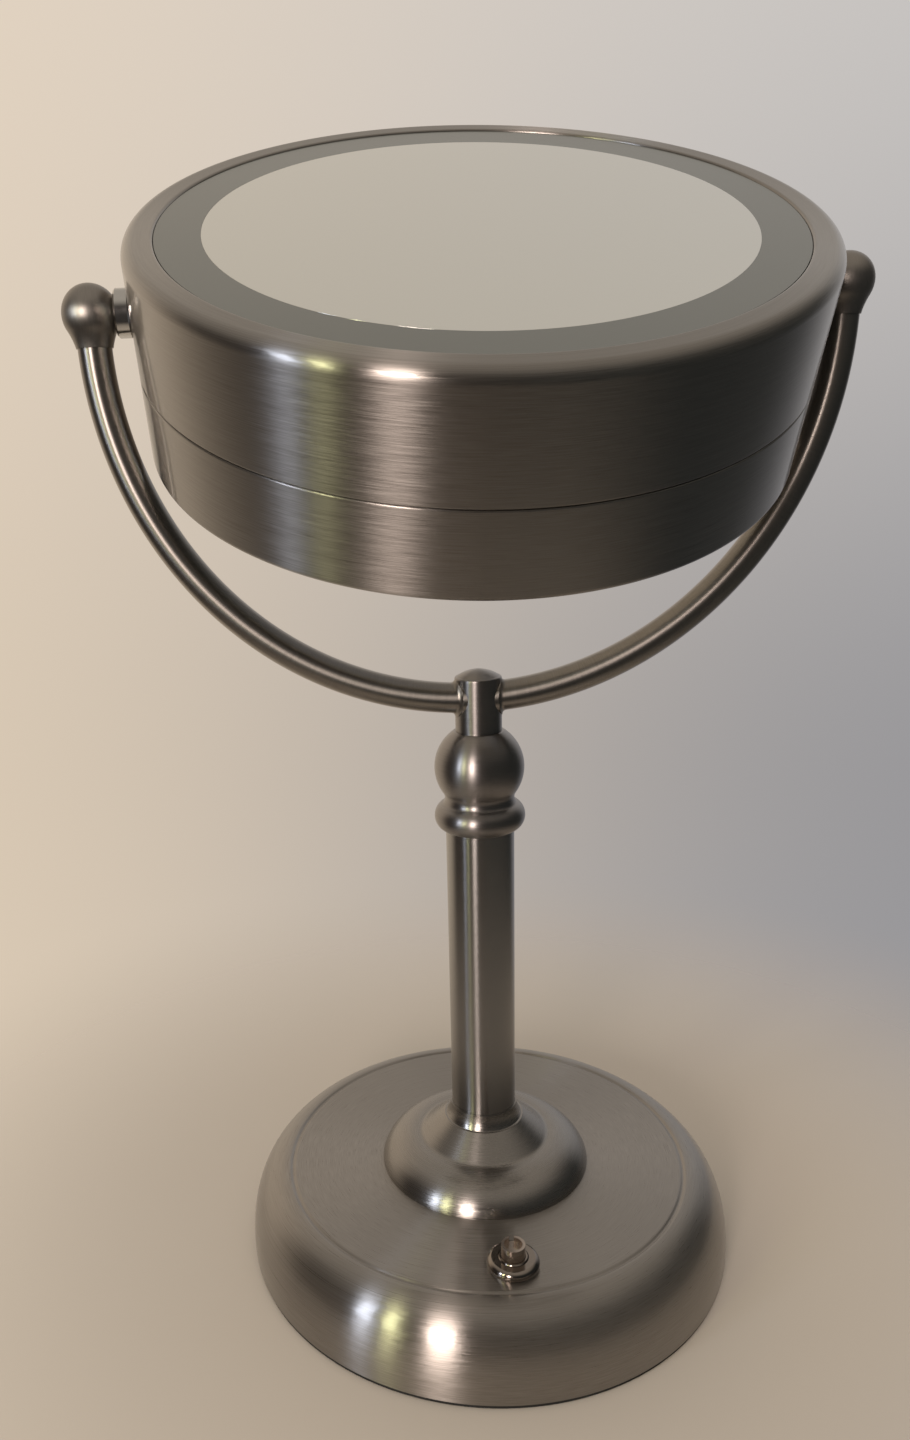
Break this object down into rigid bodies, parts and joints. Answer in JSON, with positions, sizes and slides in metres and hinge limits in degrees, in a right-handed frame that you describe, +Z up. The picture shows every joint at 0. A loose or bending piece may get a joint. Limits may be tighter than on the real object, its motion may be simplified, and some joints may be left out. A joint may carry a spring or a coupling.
{
  "type": "two-sided table mirror",
  "caption": "Round two-sided lit table mirror that turns end over end in a tube yoke, on a column with a round weighted base and a push switch.",
  "frame": {"origin": "centre of the base on the table, on the column's axis", "axes": "+Z up along the column, -Y the front where the switch is, X along the pivots that the head turns on"},
  "size_m": [0.2602, 0.2203, 0.4246],
  "materials": {
    "spun_nickel": "spun steel, nickel plated and brushed round its axis",
    "turned_nickel": "turned steel, nickel plated, fine satin",
    "tube_nickel": "drawn steel tube, nickel plated, satin",
    "polished_chrome": "polished",
    "plunger_nickel": "turned, satin",
    "black_rubber": "matt",
    "black_plastic": "fine texture",
    "white_plastic": "matt white, to throw the light forward",
    "frosted_diffuser": "frosted acrylic, grey while unlit",
    "mirror_glass": "silvered glass",
    "cast_ballast": "as cast",
    "zinc_steel": "zinc plated",
    "sprung_contact": "nickel plated spring strip",
    "cell_jacket": "plain unprinted jacket",
    "white_board": "white solder resist",
    "lamp_resin": "yellow phosphor resin",
    "washer_fibre": "vulcanised fibre",
    "lead_sheath": "soft black sheath"
  },
  "bodies": {
    "root": {"base_shell": "spun_nickel", "column_flange": "turned_nickel", "column_tube": "turned_nickel", "collar_finial": "turned_nickel", "yoke_hub": "turned_nickel", "pivot_ball_left": "turned_nickel", "pivot_ball_right": "turned_nickel", "yoke_arm_left": "tube_nickel", "yoke_arm_right": "tube_nickel", "switch_nut": "polished_chrome", "pivot_spacer_left": "polished_chrome", "pivot_spacer_right": "polished_chrome", "base_ring": "black_rubber", "base_plate": "black_plastic", "switch_body": "black_plastic", "base_weight": "cast_ballast", "base_screws": "zinc_steel", "tie_rod": "zinc_steel", "rod_washer": "zinc_steel", "rod_nut": "zinc_steel", "pivot_stud_left": "zinc_steel", "pivot_stud_right": "zinc_steel", "pivot_nut_left": "zinc_steel", "pivot_nut_right": "zinc_steel", "battery_contacts": "sprung_contact", "battery_cells": "cell_jacket", "friction_washer_left": "washer_fibre", "friction_washer_right": "washer_fibre", "power_lead": "lead_sheath", "battery_lead": "lead_sheath"},
    "head": {"front_shell": "spun_nickel", "rear_shell": "spun_nickel", "front_tray": "white_plastic", "rear_tray": "white_plastic", "front_light_ring": "frosted_diffuser", "rear_light_ring": "frosted_diffuser", "front_mirror": "mirror_glass", "rear_mirror": "mirror_glass", "front_led_board": "white_board", "rear_led_board": "white_board", "front_leds": "lamp_resin", "rear_leds": "lamp_resin", "tray_screws": "zinc_steel", "head_leads": "lead_sheath"},
    "switch_button": {"switch_plunger": "plunger_nickel"},
    "battery_door": {"battery_door": "black_plastic"}
  },
  "joints": [
    {"name": "head_tilt", "type": "hinge", "parent": "root", "child": "head", "pos_m": [0, 0, 0.35697], "axis": [1, 0, 0], "range_deg": [-180, 180]},
    {"name": "switch_press", "type": "slide", "parent": "root", "child": "switch_button", "axis": [0, 0, -1], "range_m": [0, 0.0025], "stiffness_N_per_m": 800, "springref_m": -0.0015},
    {"name": "battery_door_slide", "type": "slide", "parent": "root", "child": "battery_door", "axis": [0, 1, 0], "range_m": [0, 0.006]}
  ]
}
